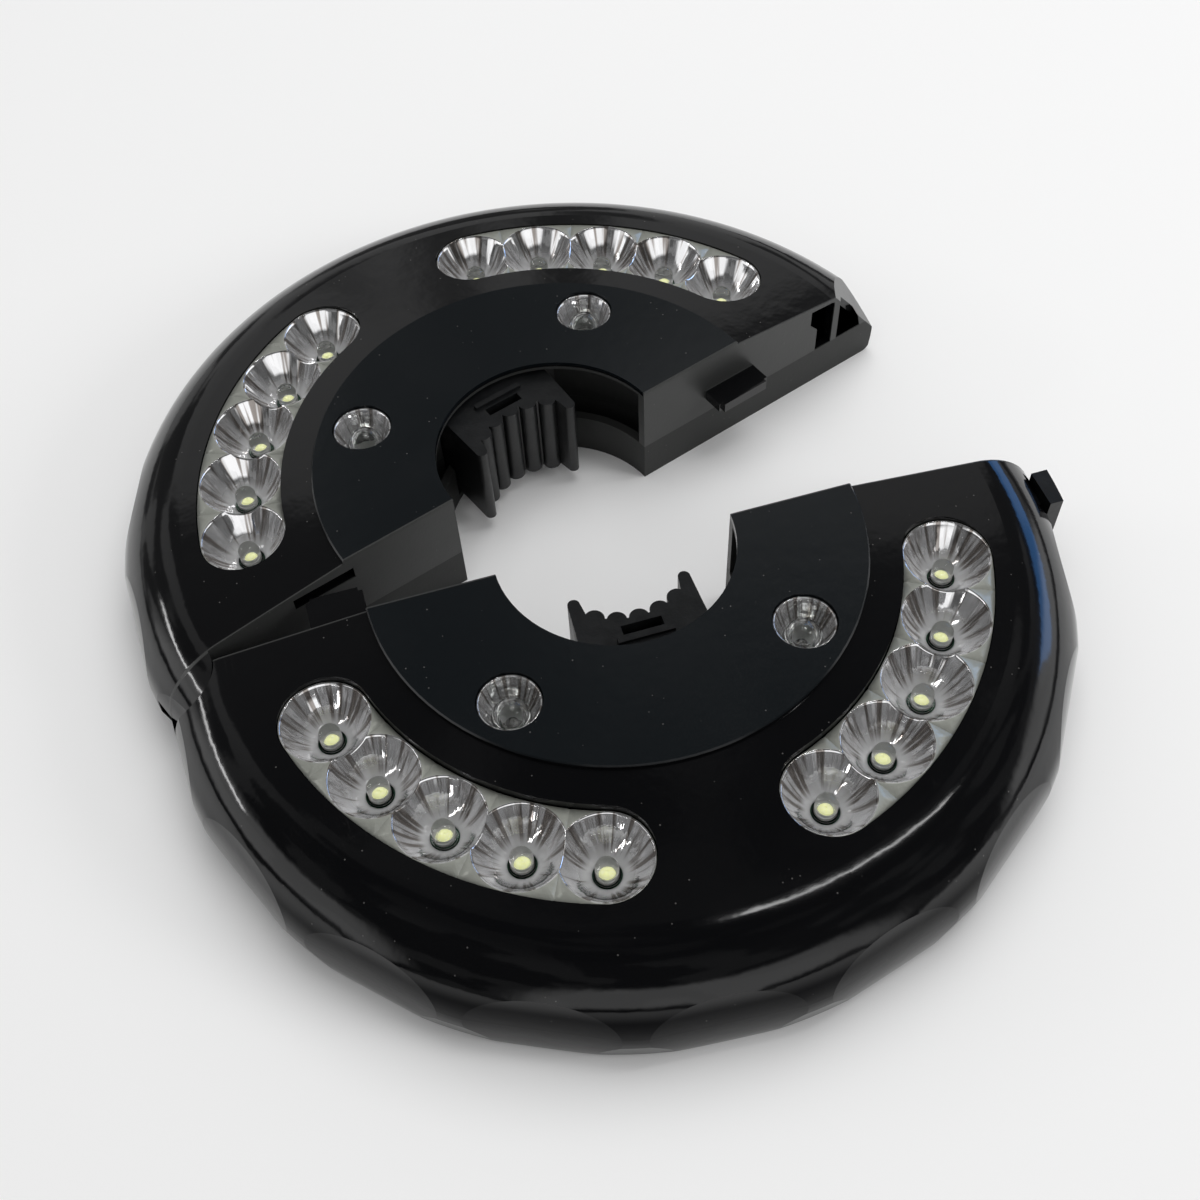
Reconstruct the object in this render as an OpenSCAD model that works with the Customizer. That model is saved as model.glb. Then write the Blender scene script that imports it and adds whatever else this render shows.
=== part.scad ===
// Clip-on patio umbrella light: two hinged half discs that close round the pole.
// Millimetres. The resting (upper, when hung) face lies on z = 0 and the lamps look up +Z.
// The pole's centre line in the fixed half is the Z axis; the fixed half fills y < 0 and
// the swing half stands open about the hinge pin at the left end of the parting line.

/* [Disc] */
// Largest radius of the disc
rim_r = 106.8; // [105:0.2:112]
// Height of the raised inner disc above the resting face
disc_top_z = 31.1; // [30.6:0.1:34]
// Radius of the raised inner disc
disc_r = 57.2; // [56:0.2:60]
// Height of the lamp ring where it meets the inner disc
ring_z = 29.9; // [29.4:0.1:30.4]
// Radius of the rounded shoulder outside the lamp ring
shoulder_r = 19; // [17:0.5:20]
// Height of the centre of the shoulder's round
shoulder_z = 8; // [7:0.5:9]
// Height of the seam between the base cover and the top cover
seam_z = 11.5; // [10.5:0.25:12]
// Radius of the round along the bottom edge
foot_round = 2.5; // [1:0.25:3]
// Inward draft of the side wall at its foot
side_draft = 0.8; // [0.2:0.1:1.5]
// Thickness of the covers
wall = 2.2; // [1.8:0.1:2.6]
// Thickness of the side wall, before the flutes are cut into it
rim_wall = 3.5; // [3.2:0.1:4]

/* [Rim flutes] */
// Thumb flutes round the whole disc
flute_count = 18; // [12:2:24]
// Turn of the first flute from the parting line
flute_phase = 5; // [0:0.5:10]
// Largest distance of a flute's face from the pole's axis
flute_d = 105.7; // [105.4:0.1:106]
// Upright bow of a flute's face
flute_bow = 31; // [28:0.5:36]
// Height at which a flute's face stands out farthest
flute_z = 6.5; // [5:0.5:8]

/* [Pole grip] */
// Radius of the hole for the pole
pole_hole_r = 27.7; // [26:0.1:30]
// Radius of the circle that the jaws' ribs touch
grip_r = 16.5; // [14:0.1:18]
// Radius of a jaw's rib
rib_r = 2.3; // [1.8:0.1:2.6]
// Ribs across a jaw, the two horns not counted
jaw_ribs = 5; // [3:2:5]
// Angle between two ribs
rib_pitch = 15.3; // [13:0.1:17]
// Depth of the valleys between the ribs
rib_depth = 1.9; // [1:0.1:2.2]
// Width of a jaw
jaw_w = 29.6; // [27:0.1:31]
// Height of a jaw
jaw_h = 23.6; // [20:0.1:24]
// Distance of a jaw's back from the pole's axis
jaw_back = 34; // [32:0.5:36]
// Travel of a jaw when a thick pole pushes it back
jaw_travel = 8; // [6:0.5:9]
// Width and depth of the core-out in a jaw's top
jaw_slot = [9.4, 2.4]; // [1:0.1:12]
// Free length of a jaw spring between its two seats
jaw_spring_gap = 20; // [18:0.5:21]

/* [Hinge and latch] */
// Distance of the hinge pin from the pole's axis
hinge_x = 100.4; // [99:0.1:101]
// Opening of the swing half in the stored pose
open_angle = 19.2; // [5:0.2:60]
// Radius of the hinge knuckles
knuckle_r = 8; // [7:0.1:9]
// Radius of the hinge pin
pin_r = 2; // [1.5:0.1:2.5]
// Height of the latch pad
latch_pad_h = 11; // [9:0.2:12]
// Width of the latch pad along the rim
latch_pad_w = 10; // [8:0.2:11]
// How far the latch pad stands out from the rim
latch_proud = 1.2; // [0.6:0.1:2]
// Travel of the latch when it is pressed
latch_travel = 2; // [1.6:0.1:2.4]
// Reach of the latch hook past the parting line
hook_reach = 7; // [6.6:0.1:8]
// Distance of the catch rib from the pole's axis
catch_x = 91.3; // [90.5:0.1:92]

/* [Lamps] */
// Radius of the ring of window lamps
lamp_ring_r = 75; // [74:0.1:76]
// Lamps behind one window
lamps_per_window = 5; // [3:1:5]
// Angle between two lamps of a window
lamp_pitch = 13.36; // [13:0.02:14]
// Half the width of a window
window_hw = 10.2; // [10:0.1:10.6]
// Radius of a reflector cup at its rim
cup_r = 9.2; // [9:0.05:9.4]
// Height of the reflector cups' rims
cup_rim_z = 26.9; // [26.5:0.1:27.1]
// Depth of a cup, from its rim to where its parabola would close
cup_depth = 8.5; // [8:0.1:8.6]
// Radius of a lamp's clear body
lamp_r = 2.5; // [2:0.1:2.7]
// Height of a lamp above its board, dome included
lamp_h = 6.1; // [5.6:0.1:6.4]
// Radius of the circle of spot lamps on the inner disc
spot_ring_r = 46.7; // [45.5:0.1:46.8]
// Radius of a spot lamp's hole
spot_hole_r = 7.2; // [7:0.1:7.6]

/* [Battery bay and screws] */
// Diameter of a battery cell
cell_d = 14.2; // [13.8:0.1:14.3]
// Length of a battery cell
cell_l = 50.5; // [49:0.1:51]
// Thickness of a battery door
door_t = 1.6; // [1.4:0.1:1.8]
// Travel of a battery door before it lifts out
door_travel = 7; // [5:0.5:7]
// Radius of a cover screw's thread
screw_r = 1.5; // [1.2:0.1:1.6]
// Radius of a cover screw's head
screw_head_r = 2.8; // [2.4:0.1:3]

/* [Power button] */
// Width and height of the power button's face
button_face = [12, 8]; // [6:0.5:14]
// Travel of the power button
button_travel = 1.2; // [0.6:0.1:1.4]

/* [Fits] */
// Gap between covers and the pieces that move past them
run_gap = 0.4; // [0.3:0.05:0.6]
// Gap between pieces that seat on each other
seat_gap = 0.2; // [0.1:0.05:0.3]
// Radial play of the hinge pin
pin_play = 0.05; // [0.02:0.01:0.1]

/* [Hidden] */
$fn = 96;
eps = 0.01;
far = 3 * rim_r;

// Shell profile
shoulder_x = rim_r - shoulder_r;
floor_t = wall - 0.4;
// Slope of a line that starts at a point and touches a shoulder's round from above
function touch_slope(from, center, r) = let (d = center - from)
  acos(r / norm(d)) - atan2(d[0], -d[1]);
sunk_shoulder_r = shoulder_r - 0.003;  // the ring runs into the round at one degree
ring_slope = touch_slope([disc_r, ring_z], [shoulder_x, shoulder_z], sunk_shoulder_r);
inner_shoulder_r = shoulder_r - wall;
inner_shoulder_x = shoulder_x - rim_wall + wall;
disc_under_z = disc_top_z - wall;
disc_bevel = 0.35;
under_ring = [disc_r - wall, ring_z - wall];
under_slope = touch_slope(under_ring, [inner_shoulder_x, shoulder_z], inner_shoulder_r);
part_gap = 0.1;

// Rim flutes
flute_w = 2 * rim_r * sin(180 / flute_count);

// Pole grip: cavity round the hole, channel of each jaw, seats of its springs
cavity_r = pole_hole_r + 7.5;
jaw_z0 = disc_under_z - 1.2 - jaw_h;
jaw_flange_w = jaw_w + 5;
jaw_flange_t = 3;
lip_y = jaw_back - jaw_flange_t - seat_gap;
channel_hw = jaw_flange_w / 2 + run_gap;
channel_back = jaw_back + jaw_spring_gap;
spring_x = 10;
spring_z = jaw_z0 + jaw_h / 2;
spring_coil_r = 3.4;
spring_wire_r = 0.45;
post_r = 2.2;
post_l = 3.5;
rail_w = 2;
horn_r = 1.4;
horn_x = jaw_w / 2 - 1.9;
horn_y = grip_r - 5.3;

// Lamps
board_t = 1.6;
lamp_base_z = cup_rim_z - 8.9;
spot_base_z = lamp_base_z + 4;
lamp_flange_r = lamp_r + 0.4;
lamp_flange_h = 1;
lamp_hole_r = lamp_flange_r + 0.2;
flange_margin = 1.8;
flange_t = 1.9;
flange_top_z = cup_rim_z - 2.3;
cup_wall = 1.1;
cup_web = 0.12;
board_in_r = lamp_ring_r - 9;
board_out_r = lamp_ring_r + 9;
board_end = 12;
spot_cup_r = spot_hole_r - 0.6;
spot_rim_z = disc_top_z - 0.8;
spot_depth = 7.8;
spot_flange_t = 1.5;
spot_flange_margin = 0.9;
window_end = lamp_pitch * (lamps_per_window - 1) / 2;

// Battery bay: two cells side by side behind the jaw's channel
cell_gap = 1.4;
bay_in_y = channel_back + wall + 1.2;
bay_hl = cell_l / 2 + 2.75;
bay_out_y = bay_in_y + 2 * cell_d + cell_gap + 1.6;
cell_z = door_t + seat_gap + cell_d / 2;
bay_wall = 1.5;
door_hl = bay_hl - 0.6;
door_lip = 1.2;
lip_t = 0.8;
tab_l = 5.6;
tab_pitch = 18;
bay_mid_y = (bay_in_y + bay_out_y) / 2;
contact_t = 0.5;
coil_sink = 0.25;

// Screws: three pairs of places and one at the rim
boss_r = 3.6;
screw_seat_z = 3.2;
screw_l = 13;
SCREW_PLACES = [[68, -8], [-68, -8], [33, -48], [-33, -48], [17, -96.5]];

// Joining tongues on the parting faces: x from, x to, z from, thickness, reach
TAB_FIXED = [-70, -57, disc_top_z - 7.1, 2.6, 9.6];
TAB_SWING = [47, 62.5, disc_top_z - 13.9, 2.8, 7];
tab_gap = 0.8;

// Latch slider
pad_y0 = -3;
pad_z0 = seam_z - 2;
arm_z0 = seam_z + 0.4;
arm_h = 5;
arm_y = pad_y0 - latch_pad_w / 2;
arm_w = 4;
catch_t = 2;
hook_w = 2.4;
hook_gap = 0.7;
barb_w = 2;
hook_x = catch_x - catch_t / 2 - hook_gap - hook_w;
barb_l = hook_reach - 3.6;
latch_seat_x = 74;

// Power button in the swing half's middle flute
button_turn = flute_phase - 5 * 360 / flute_count;
button_z = seam_z;
button_proud = 0.6;

// ---------- shared shapes ----------

// Puts a half built at y < 0 where it belongs: the swing half is turned about and opened
module seat(side) {
  if (side == "swing")
    translate([-hinge_x, 0, 0]) rotate([0, 0, open_angle]) translate([hinge_x, 0, 0])
      rotate([0, 0, 180]) children();
  else
    children();
}

// In its own frame the swing half is turned about, so its hinge is at +x
function hinge_own_x(side) = side == "swing" ? hinge_x : -hinge_x;
function own_x(side, from, to) = side == "swing" ? [-to, -from] : [from, to];
module turned(side) { mirror([side == "swing" ? 1 : 0, 0, 0]) children(); }

// Outline of the disc in the radial plane: foot round, side, shoulder, ring, raised disc
module outer_profile() {
  polygon([
    [0, 0], [rim_r - side_draft - foot_round, 0], [rim_r - side_draft - foot_round, foot_round],
    [rim_r - side_draft, foot_round], [rim_r, shoulder_z], [shoulder_x, shoulder_z],
    [shoulder_x + sunk_shoulder_r * sin(ring_slope),
      shoulder_z + sunk_shoulder_r * cos(ring_slope)],
    [disc_r, ring_z], [disc_r, disc_top_z - disc_bevel], [disc_r - disc_bevel, disc_top_z],
    [0, disc_top_z]
  ]);
  translate([rim_r - side_draft - foot_round, foot_round]) circle(foot_round);
  intersection() {
    translate([shoulder_x, shoulder_z]) circle(shoulder_r);
    translate([shoulder_x, shoulder_z]) square(2 * shoulder_r);
  }
}

// Outline of the hollow inside the covers: its shoulder is a run of short cones
module inner_profile() {
  shoulder = [for (a = [0, 30, 60, 90 - under_slope])
    [inner_shoulder_x, shoulder_z] + inner_shoulder_r * [cos(a), sin(a)]];
  polygon(concat([[0, floor_t], [rim_r - rim_wall - side_draft, floor_t]], shoulder,
    [under_ring, [under_ring[0], disc_under_z], [0, disc_under_z]]));
}

// Revolved with the seam of the surface turned away from the half that is kept
module outer_solid() { rotate([0, 0, 90]) rotate_extrude() outer_profile(); }
module inner_solid() { rotate([0, 0, 90]) rotate_extrude() inner_profile(); }

// Box between two corners
module span(a, b) { translate(a) cube(b - a); }

// One flute: everything outside a face that is bowed upright and straight along the rim
module flute_cut() {
  translate([0, flute_w / 2, 0]) rotate([90, 0, 0]) linear_extrude(flute_w) difference() {
    translate([flute_d - flute_bow, -1]) square([flute_bow + 9, disc_top_z]);
    translate([flute_d - flute_bow, flute_z]) circle(flute_bow);
  }
}

// Flutes that reach into a half; both halves together carry the full count
module flutes() {
  for (k = [0:flute_count / 2]) rotate([0, 0, flute_phase - k * 360 / flute_count]) flute_cut();
}

// Flat banana slot about the lamp ring, with round ends
module arc_slot(hw) {
  reach = 2 * lamp_ring_r;
  intersection() {
    difference() {
      circle(lamp_ring_r + hw);
      circle(lamp_ring_r - hw);
    }
    polygon([[0, 0], reach * [cos(window_end), -sin(window_end)],
      reach * [cos(window_end), sin(window_end)]]);
  }
  for (s = [-1, 1]) rotate(s * window_end) translate([lamp_ring_r, 0]) circle(hw + 0.003);
}

// Turn of a window's middle: the left one sits on the hinge side
function window_turn(place) = place == "left" ? -135 : -45;
function lamp_turns(place) =
  [for (k = [0:lamps_per_window - 1]) window_turn(place) - window_end + k * lamp_pitch];
function all_lamp_turns() = concat(lamp_turns("left"), lamp_turns("right"));

// Open coil of round wire along +Z, from one end to the other, radius r0 to r1
module coil(r0, r1, length, turns, wire) {
  sides = 6;
  rings = turns * 8;
  function at(i) = let (t = i / rings) [t * turns * 360, r0 + (r1 - r0) * t,
    wire + t * (length - 2 * wire)];
  points = [for (i = [0:rings]) let (p = at(i)) for (j = [0:sides - 1])
    let (b = j * 360 / sides, r = p[1] + wire * cos(b))
      [r * cos(p[0]), r * sin(p[0]), p[2] + wire * sin(b)]];
  skin = [for (i = [0:rings - 1]) for (j = [0:sides - 1]) let (k = (j + 1) % sides)
    for (f = [[i * sides + j, i * sides + k, (i + 1) * sides + k],
      [i * sides + j, (i + 1) * sides + k, (i + 1) * sides + j]]) f];
  caps = [for (j = [1:sides - 2]) for (f = [[0, j + 1, j],
    [rings * sides, rings * sides + j, rings * sides + j + 1]]) f];
  polyhedron(points, concat(skin, caps));
}

// ---------- walls inside the covers ----------

// Walls of the jaw's channel, from the cavity round the pole back to the springs' seats
module channel_walls() {
  for (s = [-1, 1]) mirror([s < 0 ? 1 : 0, 0, 0]) {
    span([channel_hw, -channel_back - wall, 0], [channel_hw + wall, -lip_y, far]);
    span([jaw_w / 2 + run_gap, -lip_y, 0],
      [channel_hw + wall, -lip_y + wall, far]);
  }
  span([-channel_hw - wall, -channel_back - wall, 0], [channel_hw + wall, -channel_back, far]);
}

// Round wall that closes the cavity either side of the channel
module cavity_wall() {
  difference() {
    cylinder(r = cavity_r + wall, h = far);
    translate([0, 0, -1]) cylinder(r = cavity_r, h = far + 2);
    span([-channel_hw - eps, -far, -2], [channel_hw + eps, 0, far + 2]);
  }
}

module screw_bosses(r) {
  for (p = SCREW_PLACES) translate([p[0], p[1], 0]) cylinder(r = r, h = far);
}

module knuckle_notch(side) {
  translate([hinge_own_x(side), 0, -1]) cylinder(r = knuckle_r + run_gap, h = far);
}

// Pocket that takes the other half's tongue, wider on the side away from the hinge
function tab_of(side) = side == "swing" ? TAB_SWING : TAB_FIXED;
function tab_into(side) = tab_of(side == "swing" ? "fixed" : "swing");
module pocket_room(side, skin, back_skin) {
  tab = tab_into(side);
  x = own_x(side, tab[0] - tab_gap - skin, tab[1] + tab_gap + 1 + skin);
  z = tab_gap / 2 + (skin > 0 ? 1.6 : 0);
  span([x[0], -tab[4] - 0.6 - back_skin, tab[2] - z], [x[1], 1, tab[2] + tab[3] + z]);
}

// Tongue: rooted inside this half, its tip past the parting line
module tongue(side) {
  tab = tab_of(side);
  x = own_x(side, tab[0], tab[1]);
  span([x[0], -part_gap - wall - 1, tab[2]], [x[1], tab[4] - 1, tab[2] + tab[3]]);
  span([x[0] + 1, tab[4] - 1 - eps, tab[2]], [x[1] - 1, tab[4], tab[2] + tab[3]]);
}

// Opening in the rim for the latch pad, and the way of its arm through the parting wall
module latch_opening() {
  span([rim_r - rim_wall - 4, pad_y0 - latch_pad_w - run_gap, pad_z0 - run_gap],
    [far, pad_y0 + run_gap, pad_z0 + latch_pad_h + run_gap]);
  span([hook_x - latch_travel - 1, -wall - 6, arm_z0 - run_gap],
    [hook_x + hook_w + run_gap, 1, arm_z0 + arm_h + run_gap]);
}

// Opening in the swing half's parting wall: the catch rib stands in it
module catch_opening() {
  low_x = hook_x - latch_travel - run_gap;
  difference() {
    translate([0, 1, 0]) rotate([90, 0, 0]) linear_extrude(part_gap + wall + 1 + run_gap)
      polygon([[catch_x - 9, 26.2], [catch_x - 9, 21.6], [low_x, 19], [low_x, seam_z - eps],
        [catch_x + 9.5, seam_z - eps], [catch_x + 8, 17.5], [catch_x + 3, 23.6],
        [catch_x - 2, 25.8]]);
    span([catch_x - catch_t / 2, -far, 0], [catch_x + catch_t / 2, far, far]);
  }
}
module catch_rib() {
  span([catch_x - catch_t / 2, -3.2, seam_z - 1], [catch_x + catch_t / 2, 0, far]);
}

// Flat that takes the corner off the swing half's shoulder beside the latch pad, and the
// skin kept behind that flat
module corner_place() { translate([catch_x - 0.7, 0, 26.5]) rotate([0, -34.8, 31.6]) children(); }
module corner_flat() { corner_place() span([0, -40, -30], [40, 40, 40]); }
module corner_skin() { corner_place() span([-1.8, -12, -30], [1, 40, 40]); }

// Opening in the rim for the power button
module button_opening() {
  rotate([0, 0, button_turn]) {
    span([0.9 * rim_r, -button_face[0] / 2 - run_gap, button_z - button_face[1] / 2 - run_gap],
      [far, button_face[0] / 2 + run_gap, button_z + button_face[1] / 2 + run_gap]);
    span([0.9 * rim_r, -button_face[0] / 2 - 2.5, button_z - button_face[1] / 2 - 2],
      [flute_d - 2.2, button_face[0] / 2 + 2.5, button_z + button_face[1] / 2 + 2]);
  }
}

// ---------- covers ----------

// Room that a cover fills: its side of the seam and of the parting line, and its knuckle
module cover_room(side, z0, z1, knuckle_z0, knuckle_z1, knuckle) {
  span([-far, -far, z0], [far, -part_gap, z1]);
  if (knuckle) translate([hinge_own_x(side), 0, knuckle_z0])
    cylinder(r = knuckle_r, h = knuckle_z1 - knuckle_z0);
}

// What stays solid inside both covers of a half
module shared_walls(side) {
  span([-far, -part_gap - wall, -1], [far, far, far]);
  channel_walls();
  cavity_wall();
  translate([hinge_own_x(side), 0, 0]) cylinder(r = knuckle_r + run_gap + wall, h = far);
}

module top_cover(side) {
  difference() {
    union() {
      difference() {
        intersection() {
          outer_solid();
          cover_room(side, seam_z, far, seam_z + seat_gap, far, side == "swing");
        }
        difference() {
          inner_solid();
          shared_walls(side);
          screw_bosses(boss_r);
          pocket_room(side, wall, 1);
          if (side == "fixed")
            span([latch_seat_x - 1.5, arm_y - 4, 0], [latch_seat_x, 0, seam_z + 8]);
          if (side == "swing") turned(side) {
            catch_rib();
            corner_skin();
          }
        }
      }
      tongue(side);
    }
    translate([0, 0, -1]) cylinder(r = pole_hole_r, h = far);
    for (place = ["left", "right"]) rotate([0, 0, window_turn(place)])
      translate([0, 0, seam_z + 6]) linear_extrude(far) arc_slot(window_hw);
    spot_places() translate([0, 0, seam_z + 6]) cylinder(r = spot_hole_r, h = far);
    flutes();
    pocket_room(side, 0, 0);
    for (p = SCREW_PLACES) translate([p[0], p[1], seam_z - 1])
      cylinder(r = screw_r, h = screw_l - (seam_z - screw_seat_z) + 2);
    if (side == "fixed") {
      knuckle_notch(side);
      latch_opening();
    } else {
      translate([hinge_x, 0, -1]) cylinder(r = pin_r + pin_play, h = seam_z + 7.3);
      turned(side) {
        catch_opening();
        corner_flat();
      }
      button_opening();
    }
  }
}

// Door opening of the battery bay: plain below, wider above the lips
module bay_opening() {
  span([-door_hl - seat_gap, -bay_out_y, -1], [door_hl + door_travel + 1, -bay_in_y, door_t + 0.1]);
  span([-bay_hl, -bay_out_y - door_lip, lip_t], [bay_hl, -bay_in_y + door_lip, floor_t + 1]);
  span([-bay_hl, -bay_out_y, 0.5], [bay_hl, -bay_in_y, far]);
}

// Lips that hold the door's tabs, open between them
module door_lips() {
  for (s = [-1, 0, 1]) translate([s * tab_pitch, 0, 0]) {
    span([-tab_l / 2 - 0.4, -bay_out_y - eps, 0], [tab_l / 2 + 0.4, -bay_out_y + door_lip, lip_t]);
    span([-tab_l / 2 - 0.4, -bay_in_y - door_lip, 0], [tab_l / 2 + 0.4, -bay_in_y + eps, lip_t]);
  }
}

// Block that the battery bay is cut into, and the ceiling of the recess that its door
// slides into
module bay_block() {
  span([-bay_hl - bay_wall, -bay_out_y - bay_wall - door_lip, -1],
    [bay_hl + bay_wall, -bay_in_y + bay_wall + door_lip, far]);
  span([0, -bay_out_y - bay_wall, -1],
    [bay_hl + door_travel + 2.4, -bay_in_y + bay_wall, door_t + 1.4]);
}

module base_cover(side) {
  difference() {
    intersection() {
      outer_solid();
      cover_room(side, -1, seam_z, -1, seam_z - seat_gap, side == "fixed");
    }
    difference() {
      inner_solid();
      shared_walls(side);
      screw_bosses(screw_head_r + 1.9);
      bay_block();
      difference() {
        cylinder(r = pole_hole_r + wall, h = far);
        span([-jaw_w / 2 - run_gap, -far, -1], [jaw_w / 2 + run_gap, 0, far + 1]);
      }
      for (x = [-spring_x, spring_x]) span([x - rail_w / 2, -channel_back - 1, 0],
        [x + rail_w / 2, -pole_hole_r - 1, jaw_z0 - seat_gap]);
      // posts under the lamp board
      for (turn = [-19, -62, -118, -161]) rotate([0, 0, turn])
        translate([lamp_ring_r, 0, 0]) cylinder(r = 2.4, h = far);
    }
    translate([0, 0, -1]) cylinder(r = pole_hole_r, h = far);
    flutes();
    difference() {
      bay_opening();
      door_lips();
    }
    for (p = SCREW_PLACES) translate([p[0], p[1], -1]) {
      cylinder(r = screw_head_r + 0.3, h = screw_seat_z + 1);
      cylinder(r = screw_r + 0.2, h = far);
    }
    if (side == "fixed") {
      translate([-hinge_x, 0, 1.2]) cylinder(r = pin_r + 0.02, h = far);
      latch_opening();
    } else {
      knuckle_notch(side);
      turned(side) corner_flat();
      button_opening();
    }
  }
}

// ---------- lamps ----------

// Half outline of a parabolic cup: radius rim at height 0, closing towards -depth
function cup_curve(rim, depth, hole) =
  [for (k = [0:4]) let (r = rim - (rim - hole) * k / 4) [r, -depth * (1 - r * r / (rim * rim))]];

// What a cup leaves empty: its first cone runs on past the rim, its hole down past the lamp
module cup_hollow(rim, depth, hole) {
  curve = cup_curve(rim, depth, hole);
  lead = 2 * curve[0] - curve[1];
  rotate_extrude() polygon(concat([[0, lead[1]], lead], [for (k = [1:4]) curve[k]],
    [[hole, -12], [0, -12]]));
}

// The cup's outside, from below its rim down to the board
module cup_shell(rim, depth, hole, hole_bottom) {
  curve = [for (k = [1:4]) cup_curve(rim, depth, hole)[k] + [cup_wall, 0]];
  rotate_extrude() polygon(concat([[0, curve[0][1]]], curve,
    [[hole + cup_wall, hole_bottom], [0, hole_bottom]]));
}

// Wedge that one cup of a strip keeps to: a thin web stands between neighbours
module lamp_sector() {
  reach = 2 * lamp_ring_r;
  half = lamp_pitch / 2 - cup_web;
  linear_extrude(far) polygon([[0, 0], reach * [cos(half), -sin(half)],
    reach * [cos(half), sin(half)]]);
}

// Mirrored strip behind one window: island in the window, flange under the cover, cups below
module reflector(place) {
  cup_bottom = lamp_base_z + 0.3 - cup_rim_z;
  difference() {
    union() {
      rotate([0, 0, window_turn(place)]) {
        translate([0, 0, flange_top_z - flange_t]) linear_extrude(cup_rim_z - flange_top_z + flange_t)
          arc_slot(window_hw - seat_gap);
        translate([0, 0, flange_top_z - flange_t]) linear_extrude(flange_t)
          arc_slot(window_hw + flange_margin);
      }
      for (turn = lamp_turns(place)) rotate([0, 0, turn]) translate([lamp_ring_r, 0, cup_rim_z])
        cup_shell(cup_r - 0.4, cup_depth + 0.6, lamp_hole_r, cup_bottom);
    }
    for (turn = lamp_turns(place)) rotate([0, 0, turn]) intersection() {
      translate([lamp_ring_r, 0, cup_rim_z]) cup_hollow(cup_r, cup_depth, lamp_hole_r);
      lamp_sector();
    }
  }
}

// Clear lamp: flange, body and dome
module lamp() {
  cylinder(r = lamp_flange_r, h = lamp_flange_h);
  cylinder(r = lamp_r, h = lamp_h - lamp_r);
  translate([0, 0, lamp_h - lamp_r]) sphere(lamp_r);
}

module ring_leds() {
  for (turn = all_lamp_turns()) rotate([0, 0, turn]) translate([lamp_ring_r, 0, lamp_base_z]) lamp();
}

module spot_places() {
  for (turn = [-135, -45]) rotate([0, 0, turn]) translate([spot_ring_r, 0, 0]) children();
}

module spot_leds() { spot_places() translate([0, 0, spot_base_z]) lamp(); }

// Mirrored cup of a spot lamp, held up under the inner disc by its flange
module spot_cups() {
  flange_z = disc_under_z - spot_flange_t - spot_rim_z;
  spot_places() translate([0, 0, spot_rim_z]) difference() {
    union() {
      translate([0, 0, flange_z]) cylinder(r = spot_hole_r - seat_gap, h = -flange_z);
      translate([0, 0, flange_z]) cylinder(r = spot_hole_r + spot_flange_margin, h = spot_flange_t);
      cup_shell(spot_cup_r - 0.6, spot_depth, lamp_hole_r, spot_base_z + 0.3 - spot_rim_z);
    }
    cup_hollow(spot_cup_r, spot_depth, lamp_hole_r);
  }
}

module led_board() {
  reach = 2 * board_out_r;
  steps = 4;
  translate([0, 0, lamp_base_z - board_t]) linear_extrude(board_t) intersection() {
    difference() {
      circle(board_out_r);
      circle(board_in_r);
    }
    polygon(concat([[0, 0]], [for (k = [0:steps])
      let (t = -board_end - k * (180 - 2 * board_end) / steps) reach * [cos(t), sin(t)]]));
  }
}

module spot_boards() {
  spot_places() translate([0, 0, spot_base_z - board_t]) cylinder(r = spot_hole_r - 0.4, h = board_t);
}

// ---------- pole grip ----------

module jaw_outline() {
  difference() {
    translate([-jaw_w / 2, -jaw_back]) square([jaw_w, jaw_back - horn_y - 1.5]);
    circle(grip_r + rib_depth);
    for (s = [-1, 1]) translate([s * jaw_w / 2, -horn_y - 1.5]) rotate(s * 4) square([1.2, 20], center = true);
  }
  for (k = [0:jaw_ribs - 1]) rotate(-90 + (k - (jaw_ribs - 1) / 2) * rib_pitch)
    translate([grip_r + rib_r, 0]) circle(rib_r);
  for (s = [-1, 1]) {
    translate([s * horn_x, -horn_y]) circle(horn_r);
    polygon([[s * (horn_x + horn_r), -horn_y], [s * (horn_x - horn_r), -horn_y],
      [s * (horn_x - 2.4), -horn_y - 7], [s * (jaw_w / 2 - 0.1), -horn_y - 9]]);
  }
}

module jaw() {
  difference() {
    union() {
      translate([0, 0, jaw_z0]) linear_extrude(jaw_h) jaw_outline();
      span([-jaw_flange_w / 2, -jaw_back, jaw_z0], [jaw_flange_w / 2, -jaw_back + jaw_flange_t, jaw_z0 + jaw_h]);
      // low ridge behind the core-out
      span([-6.5, -grip_r - 8.1, jaw_z0 + jaw_h - eps], [6.5, -grip_r - 6.7, jaw_z0 + jaw_h + 0.9]);
      for (x = [-spring_x, spring_x]) translate([x, -jaw_back + eps, spring_z]) rotate([90, 0, 0])
        cylinder(r = post_r, h = post_l);
    }
    translate([-jaw_slot[0] / 2, -grip_r - 3.4 - jaw_slot[1], jaw_z0 + jaw_h - 12])
      cube([jaw_slot[0], jaw_slot[1], 20]);
  }
}

module jaw_springs() {
  for (x = [-spring_x, spring_x]) translate([x, -jaw_back - 0.1, spring_z]) rotate([90, 0, 0])
    coil(spring_coil_r, spring_coil_r, jaw_spring_gap - 0.2, 7, spring_wire_r);
}

// ---------- battery bay ----------

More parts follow.
